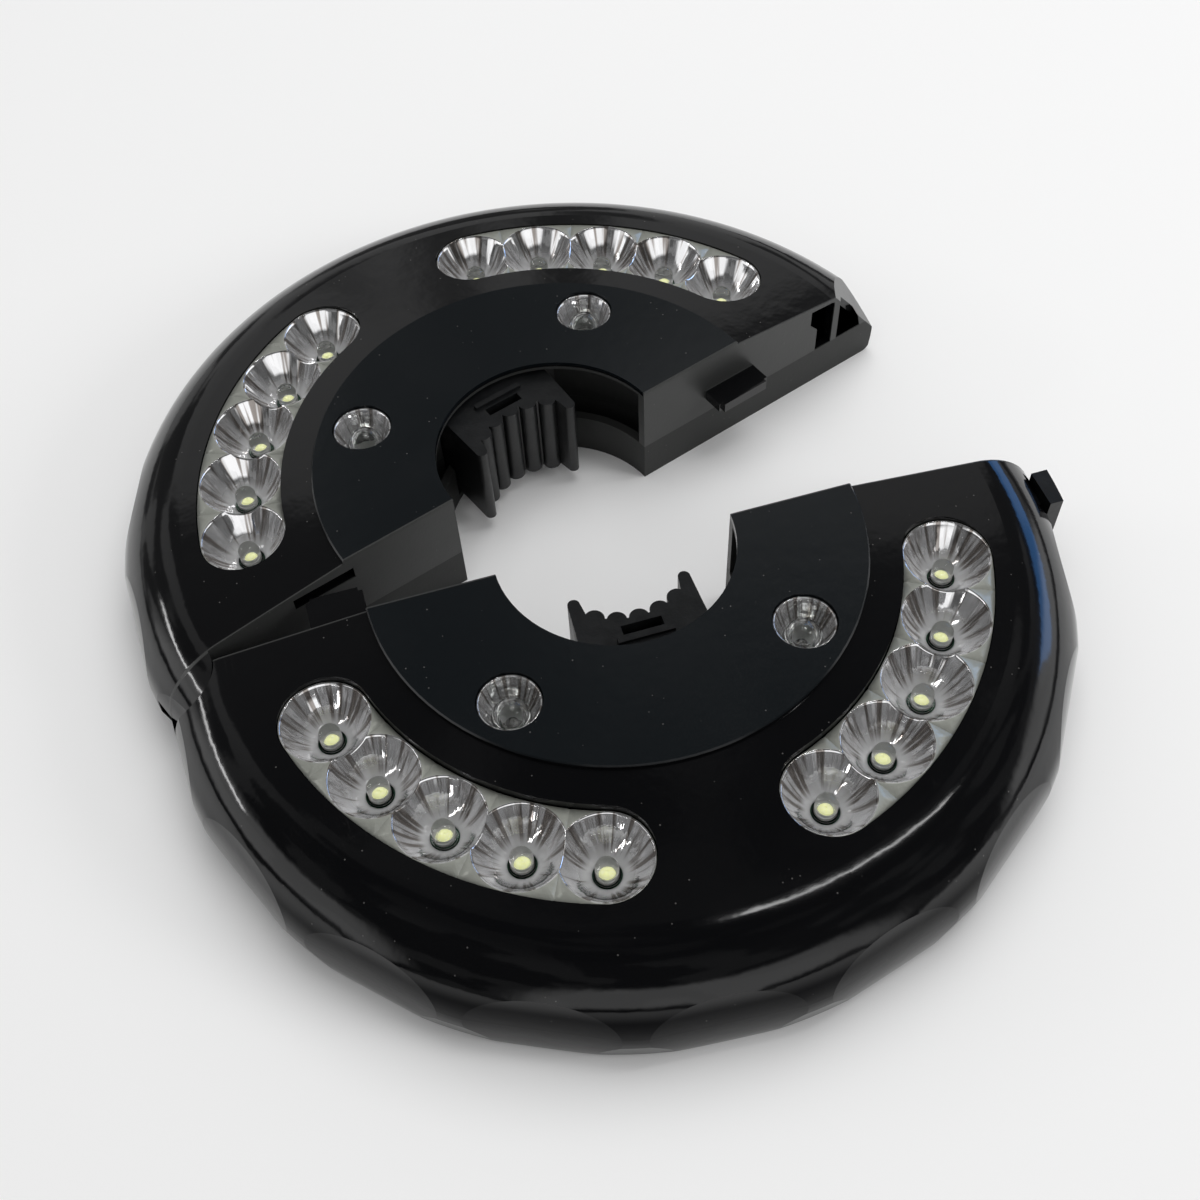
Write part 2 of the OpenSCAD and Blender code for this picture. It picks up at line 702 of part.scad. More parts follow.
module battery_door() {
  inner = -bay_in_y - seat_gap;
  outer = -bay_out_y + seat_gap;
  difference() {
    union() {
      span([-door_hl, outer + door_lip, 0], [door_hl, inner - door_lip, door_t]);
      span([-door_hl, outer, lip_t + 0.1], [door_hl, inner, door_t]);
      for (s = [-1, 0, 1]) translate([s * tab_pitch, 0, 0])
        span([-tab_l / 2, outer - door_lip, lip_t + 0.1], [tab_l / 2, inner + door_lip, door_t]);
    }
    // thumb grooves at the end that slides
    for (k = [0:4]) span([door_hl - 5 - 2.4 * k, -bay_mid_y - 9, -1],
      [door_hl - 4 - 2.4 * k, -bay_mid_y + 9, 0.5]);
  }
}

function cell_y(k) = -bay_in_y - cell_d / 2 - 0.8 - k * (cell_d + cell_gap);

module cells() {
  for (k = [0, 1]) translate([0, cell_y(k), cell_z])
    rotate([0, k == 0 ? 90 : -90, 0]) {
      translate([0, 0, -cell_l / 2]) cylinder(d = cell_d, h = cell_l - 1.2);
      translate([0, 0, cell_l / 2 - 1.2 - eps]) cylinder(d = 5.4, h = 1.2);
    }
}

// One contact per cell end: a plate against the bay's end wall, with a coil for the flat
// end of a cell or a pressed button for its raised end
module contact(k, plate_w, coiled) {
  reach = bay_hl - cell_l / 2 - contact_t - 0.2;
  translate([-bay_hl + 0.1, cell_y(k), 0]) {
    span([0, -plate_w / 2, door_t + 2], [contact_t, plate_w / 2, seam_z - 0.5]);
    translate([contact_t - coil_sink, 0, cell_z]) rotate([0, 90, 0])
      if (coiled) coil(4.4, 2.2, reach + coil_sink, 2, 0.35);
      else cylinder(r1 = 3.2, r2 = 2.2, h = reach + coil_sink);
  }
}

// Plate that joins the two cells at the hinge end
module contact_link() {
  contact(0, 10, true);
  contact(1, 10, false);
  span([-bay_hl + 0.1, cell_y(1) + 4, door_t + 4], [-bay_hl + 0.1 + contact_t, cell_y(0) - 4, seam_z - 2.5]);
}

// Two separate tabs at the latch end
module contact_tabs() {
  mirror([1, 0, 0]) {
    contact(0, 10, false);
    contact(1, 10, true);
  }
}

module screws() {
  for (p = SCREW_PLACES) translate([p[0], p[1], screw_seat_z - 2]) difference() {
    union() {
      cylinder(r = screw_head_r, h = 2 - eps);
      cylinder(r = screw_r - 0.02, h = screw_l);
    }
    for (t = [0, 90]) rotate([0, 0, t]) translate([0, 0, 0.5]) cube([3, 0.8, 1.2], center = true);
  }
}

// ---------- hinge, latch and power button ----------

module pin() { translate([-hinge_x, 0, 1.25]) cylinder(r = pin_r, h = seam_z + 4.9); }

module latch_slider() {
  pad_x = rim_r + latch_proud;
  difference() {
    intersection() {
      cylinder(r = pad_x, h = far);
      span([rim_r - rim_wall + 0.6, pad_y0 - latch_pad_w, pad_z0], [far, pad_y0, pad_z0 + latch_pad_h]);
    }
    translate([pad_x + 9.6, arm_y, pad_z0 + latch_pad_h / 2]) sphere(11);
  }
  span([hook_x, arm_y - arm_w / 2, arm_z0], [rim_r - rim_wall + 0.7, arm_y + arm_w / 2, arm_z0 + arm_h]);
  translate([0, 0, arm_z0]) linear_extrude(arm_h) polygon([
    [hook_x, arm_y], [hook_x, hook_reach], [hook_x + hook_w, hook_reach],
    [hook_x + hook_w + barb_w, hook_reach - barb_l + 0.6],
    [hook_x + hook_w + barb_w, hook_reach - barb_l], [hook_x + hook_w, hook_reach - barb_l],
    [hook_x + hook_w, arm_y]]);
  translate([hook_x + eps, arm_y, arm_z0 + arm_h / 2]) rotate([0, -90, 0]) cylinder(r = 1.2, h = 3);
}

module latch_coil() {
  translate([latch_seat_x + 0.1, arm_y, arm_z0 + arm_h / 2]) rotate([0, 90, 0])
    coil(1.9, 1.9, hook_x - latch_seat_x - 0.2, 6, 0.3);
}

module button_body() {
  rotate([0, 0, button_turn]) {
    span([flute_d - 3.4, -button_face[0] / 2, button_z - button_face[1] / 2],
      [flute_d + button_proud, button_face[0] / 2, button_z + button_face[1] / 2]);
    span([flute_d - 3.4, -button_face[0] / 2 - 1.8, button_z - button_face[1] / 2 - 1.4],
      [flute_d - 2.2 - seat_gap, button_face[0] / 2 + 1.8, button_z + button_face[1] / 2 + 1.4]);
  }
}

// Push switch on its own upright board behind the button
module switch_unit() {
  rotate([0, 0, button_turn]) {
    face = flute_d - 3.4 - button_travel - seat_gap;
    translate([face - 1, 0, button_z]) rotate([0, 90, 0]) cylinder(r = 1.7, h = 1);
    span([face - 4.4, -3, button_z - 3], [face - 1 + eps, 3, button_z + 3]);
    span([face - 6, -9, floor_t + 0.2], [face - 4.4 + eps, 9, button_z + 4]);
  }
}

// ---------- nodes ----------

module fixed_top_cover() color("#17191b") top_cover("fixed");
module fixed_base_cover() color("#1b1d1f") base_cover("fixed");
module fixed_reflector_left() color("#c9cdcc") reflector("left");
module fixed_reflector_right() color("#c9cdcc") reflector("right");
module fixed_spot_cups() color("#c9cdcc") spot_cups();
module fixed_ring_leds() color("#e9f0d8") ring_leds();
module fixed_spot_leds() color("#e9f0d8") spot_leds();
module fixed_led_board() color("#1f5b3a") led_board();
module fixed_spot_boards() color("#1f5b3a") spot_boards();
module fixed_jaw() color("#2b2e30") jaw();
module fixed_jaw_springs() color("#b8bcc0") jaw_springs();
module fixed_battery_door() color("#1b1d1f") battery_door();
module fixed_cells() color("#8a8f94") cells();
module fixed_contact_link() color("#d6d2c4") contact_link();
module fixed_contact_tabs() color("#d6d2c4") contact_tabs();
module fixed_screws() color("#8f9296") screws();
module swing_top_cover() color("#17191b") seat("swing") top_cover("swing");
module swing_base_cover() color("#1b1d1f") seat("swing") base_cover("swing");
module swing_reflector_left() color("#c9cdcc") seat("swing") reflector("right");
module swing_reflector_right() color("#c9cdcc") seat("swing") reflector("left");
module swing_spot_cups() color("#c9cdcc") seat("swing") spot_cups();
module swing_ring_leds() color("#e9f0d8") seat("swing") ring_leds();
module swing_spot_leds() color("#e9f0d8") seat("swing") spot_leds();
module swing_led_board() color("#1f5b3a") seat("swing") led_board();
module swing_spot_boards() color("#1f5b3a") seat("swing") spot_boards();
module swing_jaw() color("#2b2e30") seat("swing") jaw();
module swing_jaw_springs() color("#b8bcc0") seat("swing") jaw_springs();
module swing_battery_door() color("#1b1d1f") seat("swing") battery_door();
module swing_cells() color("#8a8f94") seat("swing") cells();
module swing_contact_link() color("#d6d2c4") seat("swing") contact_link();
module swing_contact_tabs() color("#d6d2c4") seat("swing") contact_tabs();
module swing_screws() color("#8f9296") seat("swing") screws();
module hinge_pin() color("#a9adb1") pin();
module latch() color("#232628") latch_slider();
module latch_spring() color("#b8bcc0") latch_coil();
module power_button() color("#303336") seat("swing") button_body();
module power_switch() color("#2a5f45") seat("swing") switch_unit();

fixed_top_cover();
fixed_base_cover();
fixed_reflector_left();
fixed_reflector_right();
fixed_spot_cups();
fixed_ring_leds();
fixed_spot_leds();
fixed_led_board();
fixed_spot_boards();
fixed_jaw();
fixed_jaw_springs();
fixed_battery_door();
fixed_cells();
fixed_contact_link();
fixed_contact_tabs();
fixed_screws();
swing_top_cover();
swing_base_cover();
swing_reflector_left();
swing_reflector_right();
swing_spot_cups();
swing_ring_leds();
swing_spot_leds();
swing_led_board();
swing_spot_boards();
swing_jaw();
swing_jaw_springs();
swing_battery_door();
swing_cells();
swing_contact_link();
swing_contact_tabs();
swing_screws();
hinge_pin();
latch();
latch_spring();
power_button();
power_switch();
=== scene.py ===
# %% [markdown]
# # A parasol-pole light, dressed
# The light is a flat ring that opens like a book and closes round the pole of
# a garden umbrella.  Each half carries ten lamps in mirrored cups, two spot
# lamps, a ribbed jaw on springs and a battery bay.  The solids come from the
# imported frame; this lesson gives them their surfaces and finer pieces.

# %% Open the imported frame
import math
import bmesh
import bpy
import numpy as np
from mathutils import Matrix, Vector


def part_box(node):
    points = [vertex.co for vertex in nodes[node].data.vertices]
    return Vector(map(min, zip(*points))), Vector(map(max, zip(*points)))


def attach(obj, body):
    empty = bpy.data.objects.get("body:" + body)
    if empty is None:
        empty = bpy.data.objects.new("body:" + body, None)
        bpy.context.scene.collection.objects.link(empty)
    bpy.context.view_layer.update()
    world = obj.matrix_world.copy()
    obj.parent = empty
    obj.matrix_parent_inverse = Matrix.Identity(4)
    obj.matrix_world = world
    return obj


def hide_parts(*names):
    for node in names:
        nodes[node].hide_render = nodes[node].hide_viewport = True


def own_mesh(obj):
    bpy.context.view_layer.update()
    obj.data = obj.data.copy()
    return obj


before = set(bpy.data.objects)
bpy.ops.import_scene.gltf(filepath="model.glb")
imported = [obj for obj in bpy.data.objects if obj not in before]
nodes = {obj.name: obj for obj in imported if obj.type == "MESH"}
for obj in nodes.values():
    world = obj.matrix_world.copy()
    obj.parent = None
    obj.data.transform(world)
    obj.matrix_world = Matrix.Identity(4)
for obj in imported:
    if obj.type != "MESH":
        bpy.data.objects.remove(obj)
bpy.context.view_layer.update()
scene = bpy.context.scene

# %% [markdown]
# ## The camera
# The picture was taken from the front, a little left of the middle, looking
# down at 54 degrees.  Its place was solved from points whose position on the
# light is known, so it is written down as numbers.

# %% Camera
camera_place = (-0.05115067705, -0.18978236627, 0.28218425018)
camera_turn = ((0.957399, 0.252036, -0.140947),
               (-0.286728, 0.771754, -0.567612),
               (-0.034282, 0.583844, 0.811142))
camera_data = bpy.data.cameras.new("picture_camera")
camera_data.lens = 42.3777
camera_data.sensor_width = 36.0
camera_data.clip_start = 0.01
picture_camera = bpy.data.objects.new("picture_camera", camera_data)
picture_camera.matrix_world = (Matrix.Translation(camera_place)
                               @ Matrix(camera_turn).to_4x4())
scene.collection.objects.link(picture_camera)
scene.camera = picture_camera
scene.view_settings.view_transform = "Standard"
print("camera at", [round(v, 3) for v in camera_place], "lens", camera_data.lens)

# %% [markdown]
# ## Floor and light
# The light lies on a plain pale table.  The table and the matt parts see an even
# grey sky, one wide lamp overhead and a smaller one in front.  What the gloss
# mirrors is darker: a dim room with a paler wall behind, windows low on three
# sides, and strip lamps that stand where the long bright streaks on the
# shoulder ask for them.

# %% Helpers for node trees
def plain_material(name):
    """A new node material, its Principled shader and its node tree."""
    material = bpy.data.materials.new(name)
    material.use_nodes = True
    shader = material.node_tree.nodes["Principled BSDF"]
    return material, shader, material.node_tree


def add_node(tree, kind, links=(), **settings):
    """A node of the given kind; links are (socket, source) pairs, settings its fields."""
    node = tree.nodes.new("ShaderNode" + kind)
    for field, value in settings.items():
        setattr(node, field, value)
    for socket, source in links:
        if isinstance(source, bpy.types.NodeSocket):
            tree.links.new(source, node.inputs[socket])
        else:
            node.inputs[socket].default_value = source
    return node


def ramp(tree, source, low, high, start=0.0, end=1.0):
    """start below low, end above high, and a smooth step between them."""
    node = add_node(tree, "MapRange", [("Value", source), ("From Min", low), ("From Max", high),
                                       ("To Min", start), ("To Max", end)],
                    interpolation_type="SMOOTHSTEP")
    return node.outputs["Result"]


def maths(tree, operation, first, second=0.0):
    """One Math node: operation(first, second)."""
    return add_node(tree, "Math", [(0, first), (1, second)], operation=operation).outputs[0]


def times(tree, first, *others):
    """The product of all the values."""
    for value in others:
        first = maths(tree, "MULTIPLY", first, value)
    return first


def plus(tree, first, *others):
    """The sum of all the values."""
    for value in others:
        first = maths(tree, "ADD", first, value)
    return first


def blend_colours(tree, share, first, second):
    """The first colour where share is 0, the second where it is 1, a mix between."""
    links = [(0, share), (6, first), (7, second)]  # the colour sockets of a Mix node
    return add_node(tree, "Mix", links, data_type="RGBA").outputs[2]


# %% Floor
floor_reach, floor_tone = 3.0, 0.91
floor_mesh = bpy.data.meshes.new("table_top")
floor_corners = [(-floor_reach, -floor_reach, 0), (floor_reach, -floor_reach, 0),
                 (floor_reach, floor_reach, 0), (-floor_reach, floor_reach, 0)]
floor_mesh.from_pydata(floor_corners, [], [(0, 1, 2, 3)])
table_top = bpy.data.objects.new("table_top", floor_mesh)
scene.collection.objects.link(table_top)
floor_material, floor_shader, _ = plain_material("table_paint")
floor_shader.inputs["Base Color"].default_value = (floor_tone, floor_tone, floor_tone, 1)
floor_shader.inputs["Roughness"].default_value = 0.9
floor_shader.inputs["Specular IOR Level"].default_value = 0.1
floor_mesh.materials.append(floor_material)
print("floor of", 2 * floor_reach, "m")

# %% Room
matt_level, backdrop_level, window_level = 0.50, 0.9, 0.9

world = bpy.data.worlds.new("dim_room")
scene.world = world
world.use_nodes = True
room = world.node_tree
toward = add_node(room, "TexCoord").outputs["Generated"]
side, back, up = add_node(room, "SeparateXYZ", [(0, toward)]).outputs
behind = ramp(room, back, 0.1, 0.8, 0.05, 0.2)      # the wall behind is paler
overhead = ramp(room, up, 0.75, 0.95, 1.0, 0.35)    # and the ceiling darker
clutter = add_node(room, "TexNoise", [("Vector", toward), ("Scale", 4.0), ("Detail", 1.0)])
patches = ramp(room, clutter.outputs["Fac"], 0.48, 0.54, 0.5, 2.4)
window_band = times(room, ramp(room, up, 0.05, 0.12), ramp(room, up, 0.42, 0.5, 1.0, 0.0))
ahead = times(room, ramp(room, back, -0.75, -0.85), window_band)
beside = times(room, ramp(room, side, -0.8, -0.9), window_band)
across = times(room, ramp(room, side, 0.88, 0.93), window_band)
windows = plus(room, times(room, plus(room, ahead, beside), window_level), across)
mirrored = plus(room, times(room, behind, overhead, patches), windows)
rays = add_node(room, "LightPath").outputs
felt = add_node(room, "Mix", [("Factor", rays["Is Glossy Ray"]), ("A", matt_level),
                              ("B", mirrored)])
seen = add_node(room, "Mix", [("Factor", rays["Is Camera Ray"]),
                              ("A", felt.outputs["Result"]), ("B", backdrop_level)])
room.links.new(seen.outputs["Result"], room.nodes["Background"].inputs["Strength"])
room.nodes["Background"].inputs["Color"].default_value = (1, 1, 1, 1)
print("room:", matt_level, "on matt parts, darker patches in the gloss")

# %% Lamps
aim = Vector((0.0, 0.02, 0.02))


def soft_box(name, direction, distance, size, level, tint=(1, 1, 1), mirrored=True,
             felt=True):
    """A rectangular lamp at aim + distance * direction, turned to the aim.

    level is the share of full light it gives there: watts = level pi^2 d^2.
    mirrored says whether the gloss shows it, felt whether matt surfaces do."""
    data = bpy.data.lights.new(name, "AREA")
    data.shape = "RECTANGLE"
    data.size, data.size_y = size
    data.energy = level * math.pi ** 2 * distance ** 2
    data.color = tint
    lamp = bpy.data.objects.new(name, data)
    away = Vector(direction).normalized()
    turn = away.to_track_quat("Z", "Y").to_matrix().to_4x4()
    lamp.matrix_world = Matrix.Translation(aim + distance * away) @ turn
    lamp.visible_glossy = mirrored
    lamp.visible_diffuse = felt
    scene.collection.objects.link(lamp)
    return lamp


soft_box("overhead_box", (0.25, 0.35, 1.0), 1.6, (1.3, 1.3), 0.44, mirrored=False)
soft_box("shoulder_strip", (0.355, -0.02, 0.93), 1.2, (0.03, 0.5), 0.05)
soft_box("left_strip", (-0.87, 0.33, 0.37), 1.2, (0.5, 0.045), 0.05)
soft_box("blue_strip", (0.9, 0.36, 0.34), 1.2, (0.9, 0.26), 0.11, tint=(0.12, 0.4, 1.0),
         felt=False)
soft_box("front_box", (0.80, -0.46, 0.43), 1.4, (0.4, 0.4), 0.22, mirrored=False)

# %% [markdown]
# ## Effects that several finishes share
# Moulded plastic is never quite even: its skin has a faint ripple, handling
# leaves hairline scratches, and a little dust settles.  Each effect is a node
# group with its own strength in every finish that uses it.

# %% Shared effects
def effect(name, build):
    """A node group with Vector, Scale and Amount going in and Value coming out."""
    tree = bpy.data.node_groups.new(name, "ShaderNodeTree")
    for title, kind, start in (("Vector", "NodeSocketVector", None),
                               ("Scale", "NodeSocketFloat", 100.0),
                               ("Amount", "NodeSocketFloat", 1.0)):
        socket = tree.interface.new_socket(name=title, in_out="INPUT", socket_type=kind)
        if start is not None:
            socket.default_value = start
    tree.interface.new_socket(name="Value", in_out="OUTPUT", socket_type="NodeSocketFloat")
    enter = tree.nodes.new("NodeGroupInput").outputs
    leave = tree.nodes.new("NodeGroupOutput")
    value = build(tree, enter["Vector"], enter["Scale"])
    tree.links.new(times(tree, value, enter["Amount"]), leave.inputs["Value"])
    return tree


def ripple(tree, vector, scale):
    """The orange-peel height of a moulded skin: two octaves of smooth noise."""
    return add_node(tree, "TexNoise", [("Vector", vector), ("Scale", scale),
                                       ("Detail", 2.0)]).outputs["Fac"]


def hairlines(tree, vector, scale):
    """Scratches: thin lines where a stretched noise crosses its middle, in patches."""
    lines = []
    for turn in (0.6, 2.1):
        turned = add_node(tree, "Mapping", [("Vector", vector), ("Rotation", (0.2, 0.1, turn)),
                                            ("Scale", (1.0, 0.06, 1.0))]).outputs[0]
        noise = add_node(tree, "TexNoise", [("Vector", turned), ("Scale", scale),
                                            ("Detail", 1.0)]).outputs["Fac"]
        off = maths(tree, "ABSOLUTE", maths(tree, "SUBTRACT", noise, 0.5))
        lines.append(ramp(tree, off, 0.0, 0.006, 1.0, 0.0))
    patch = add_node(tree, "TexNoise", [("Vector", vector), ("Scale", 60.0)]).outputs["Fac"]
    return times(tree, maths(tree, "MAXIMUM", *lines), ramp(tree, patch, 0.55, 0.7))


def specks(tree, vector, scale):
    """Dust: a dot at the middle of some cells, and none in the others."""
    cells = add_node(tree, "TexVoronoi", [("Vector", vector), ("Scale", scale)])
    dot = ramp(tree, cells.outputs["Distance"], 0.05, 0.12, 1.0, 0.0)
    chosen = add_node(tree, "SeparateColor", [(0, cells.outputs["Color"])]).outputs[0]
    return times(tree, dot, ramp(tree, chosen, 0.8, 0.82))


def smears(tree, vector, scale):
    """Where hands have been: broad soft patches."""
    noise = add_node(tree, "TexNoise", [("Vector", vector), ("Scale", scale), ("Detail", 3.0),
                                        ("Distortion", 0.6)]).outputs["Fac"]
    return ramp(tree, noise, 0.4, 0.7)


skin_ripple = effect("skin_ripple", ripple)
hair_scratches = effect("hair_scratches", hairlines)
dust_specks = effect("dust_specks", specks)
hand_smears = effect("hand_smears", smears)


def use(tree, group, vector, scale, amount):
    """Place a shared effect in a finish with its own scale and amount."""
    node = tree.nodes.new("ShaderNodeGroup")
    node.node_tree = group
    tree.links.new(vector, node.inputs["Vector"])
    node.inputs["Scale"].default_value = scale
    node.inputs["Amount"].default_value = amount
    return node.outputs["Value"]


def bumped(tree, shader, height, distance, strength=1.0):
    """Feed a height, in metres of distance, through a Bump node to the shader's normal."""
    bump = add_node(tree, "Bump", [("Height", height), ("Distance", distance),
                                   ("Strength", strength)])
    tree.links.new(bump.outputs["Normal"], shader.inputs["Normal"])


print("effects:", [group.name for group in bpy.data.node_groups])

# %% [markdown]
# ## Where the halves are
# Both halves are the same moulding.  The fixed half is drawn in its own frame,
# with the pole's axis at the origin and the parting line along x.  The swing
# half is turned end for end and then opened by 19.2 degrees about the hinge, so
# the same shapes and patterns are carried over by one turn and one shift.

# %% Frames of the two halves
hinge_x = 0.1004
open_turn = math.radians(19.2)
half_turn = {"fixed": 0.0, "swing": math.pi + open_turn}
half_shift = {"fixed": (0.0, 0.0),
              "swing": (hinge_x * (math.cos(open_turn) - 1), hinge_x * math.sin(open_turn))}


def to_half(points, half):
    """Turn points about z by the half's turn, then shift them to its pole axis."""
    turn = half_turn[half]
    x, y, z = points.T
    return np.stack([x * math.cos(turn) - y * math.sin(turn) + half_shift[half][0],
                     x * math.sin(turn) + y * math.cos(turn) + half_shift[half][1], z], axis=1)


def own_place(tree, half):
    """Object coordinates brought back to the half's own frame by a Mapping node."""
    turn, shift = half_turn[half], half_shift[half]
    back_shift = (-shift[0] * math.cos(turn) - shift[1] * math.sin(turn),
                  shift[0] * math.sin(turn) - shift[1] * math.cos(turn), 0.0)
    place = add_node(tree, "TexCoord").outputs["Object"]
    return add_node(tree, "Mapping", [("Vector", place), ("Location", back_shift),
                                      ("Rotation", (0.0, 0.0, -turn))]).outputs[0]


print("pole axis of the swing half:", [round(v, 4) for v in half_shift["swing"]])

# %% [markdown]
# ## The cover's plastic
# The covers are black styrene.  The lamp ring and shoulder are polished, the
# raised disc is a little duller and the faces that meet when the light closes
# come straight from a matt mould.  Low on the outer wall the finish is painted
# shade: a near-black metal there mirrors almost nothing.
# The finish tells them apart by where a point lies in the half's own frame, and
# each border is a pair of numbers between which one look passes into the other.

# %% Cover plastic
disc_edge_r, disc_z = (0.0570, 0.0572), (0.0300, 0.0305)
meeting_y = (0.0002, 0.0006)
bore_r, bore_z = (0.0350, 0.0356), (0.0295, 0.0300)
shaded_wall_r, shaded_wall_z = (0.090, 0.095), (0.0160, 0.0200)
# the base covers' lower shine darkens the front band: painted shade
cover_shine, base_shine = 0.5, 0.14


def cover_finish(name, half, shine):
    """Gloss black, satin disc, matt meeting faces, painted shade on the lower outer wall."""
    material, shader, tree = plain_material(name)
    shader.inputs["Specular IOR Level"].default_value = shine
    own = own_place(tree, half)
    x, y, z = add_node(tree, "SeparateXYZ", [(0, own)]).outputs
    radius = maths(tree, "SQRT", plus(tree, times(tree, x, x), times(tree, y, y)))
    disc = times(tree, ramp(tree, radius, *disc_edge_r, 1.0, 0.0), ramp(tree, z, *disc_z))
    meeting = times(tree, ramp(tree, y, -meeting_y[1], -meeting_y[0]),
                    ramp(tree, y, *meeting_y, 1.0, 0.0))
    inside = times(tree, ramp(tree, radius, *bore_r, 1.0, 0.0),
                   ramp(tree, z, *bore_z, 1.0, 0.0))
    matt = maths(tree, "MAXIMUM", meeting, inside)
    shaded_wall = times(tree, ramp(tree, z, *shaded_wall_z, 1.0, 0.0), ramp(tree, radius, *shaded_wall_r))
    # painted shade: a near-black metal low on the outer wall mirrors almost nothing
    painted_shade_metal = times(tree, shaded_wall, maths(tree, "SUBTRACT", 1.0, matt), 0.95)
    tree.links.new(painted_shade_metal, shader.inputs["Metallic"])
    smear = use(tree, hand_smears, own, 28.0, 1.0)
    scratch = use(tree, hair_scratches, own, 700.0, 0.25)
    dust = use(tree, dust_specks, own, 520.0, 1.0)
    rough = plus(tree, 0.075, times(tree, disc, 0.12), times(tree, matt, 0.34),
                 times(tree, smear, 0.035), times(tree, scratch, 0.10))
    tree.links.new(rough, shader.inputs["Roughness"])
    gloss = blend_colours(tree, disc, (0.0030, 0.0031, 0.0036, 1), (0.0035, 0.0052, 0.0066, 1))
    base = blend_colours(tree, matt, gloss, (0.040, 0.041, 0.040, 1))
    grey = maths(tree, "MAXIMUM", times(tree, dust, 0.5), times(tree, scratch, 0.10))
    tree.links.new(blend_colours(tree, grey, base, (0.16, 0.155, 0.15, 1)),
                   shader.inputs["Base Color"])
    grain = times(tree, use(tree, skin_ripple, own, 1500.0, 1.0), times(tree, matt, 0.6))
    bumped(tree, shader, plus(tree, use(tree, skin_ripple, own, 210.0, 1.0), grain), 0.00004)
    return material


covers = {half: cover_finish(half + "_cover_black", half, cover_shine) for half in half_turn}
bases = {half: cover_finish(half + "_base_black", half, base_shine) for half in half_turn}
print("cover finishes:", [material.name for material in (*covers.values(), *bases.values())])

# %% [markdown]
# ## The other finishes
# Grips are matt, springs and contacts bare metal, boards green.  They share one
# recipe: a base colour that a noise moves a little, a roughness that smears
# change, and a fine skin.

# %% Plain finishes
def finish(name, colour, paler, roughness, metallic=0.0, scale=300.0, skin=0.00002):
    """Base colour between two tones by noise, roughness plus smears, bumped skin."""
    material, shader, tree = plain_material(name)
    place = add_node(tree, "TexCoord").outputs["Object"]
    tone = ramp(tree, use(tree, skin_ripple, place, scale, 1.0), 0.35, 0.65)
    tree.links.new(blend_colours(tree, tone, (*colour, 1), (*paler, 1)),
                   shader.inputs["Base Color"])
    smear = use(tree, hand_smears, place, 90.0, 0.12)
    scratch = use(tree, hair_scratches, place, 400.0, 0.1)
    tree.links.new(plus(tree, smear, roughness, scratch), shader.inputs["Roughness"])
    shader.inputs["Metallic"].default_value = metallic
    bumped(tree, shader, use(tree, skin_ripple, place, 4 * scale, 1.0), skin)
    return material


finishes = {
    "grip_plastic": finish("matt_grip", (0.006, 0.0065, 0.007), (0.009, 0.0095, 0.010), 0.33,
                           skin=0.00005),
    "circuit_board": finish("green_board", (0.02, 0.10, 0.05), (0.03, 0.13, 0.06), 0.35),
    "spring_steel": finish("spring_wire", (0.55, 0.55, 0.54), (0.65, 0.64, 0.62), 0.2, 1.0),
    "cell_jacket": finish("plain_cell_jacket", (0.05, 0.05, 0.055), (0.08, 0.08, 0.085), 0.25),
    "contact_metal": finish("contact_plate", (0.66, 0.63, 0.55), (0.75, 0.73, 0.68), 0.2, 1.0),
    "screw_steel": finish("dark_screw", (0.22, 0.22, 0.23), (0.32, 0.32, 0.32), 0.25, 1.0),
    "mirrored_plastic": finish("mirrored_backing", (0.8, 0.8, 0.8), (0.9, 0.9, 0.9), 0.1, 1.0),
}
print("plain finishes:", len(finishes))

# %% Clear epoxy
def clear_epoxy():
    """Cast resin: clear, with faint swirls in its skin."""
    material, shader, tree = plain_material("clear_epoxy")
    shader.inputs["Base Color"].default_value = (0.97, 0.98, 0.97, 1)
    shader.inputs["Transmission Weight"].default_value = 1.0
    shader.inputs["IOR"].default_value = 1.5
    place = add_node(tree, "TexCoord").outputs["Object"]
    tree.links.new(ramp(tree, use(tree, hand_smears, place, 300.0, 1.0), 0.0, 1.0, 0.01, 0.05),
                   shader.inputs["Roughness"])
    bumped(tree, shader, use(tree, skin_ripple, place, 700.0, 1.0), 0.00002)
    return material


finishes["lamp_epoxy"] = clear_epoxy()
for node_name, node in nodes.items():
    slot_name = node.material_slots[0].material.name.split(".")[0]
    half = "swing" if node_name.startswith(("swing", "power")) else "fixed"
    black = bases if "base_cover" in node_name else covers
    node.data.materials[0] = black[half] if slot_name == "cover_plastic" else finishes[slot_name]
print("finished", len(nodes), "nodes")

# %% [markdown]
# ## Mirrored cups
# Each window shows a strip of five plated cups that run into each other.  A cup
# is a paraboloid, so its height over the strip grows with the square of the
# distance from the lamp.  Every cup is worked out on its own grid of directions and
# stations and stops half way to its neighbour, which gives the sharp low
# cusps between cups that a moulded strip has.

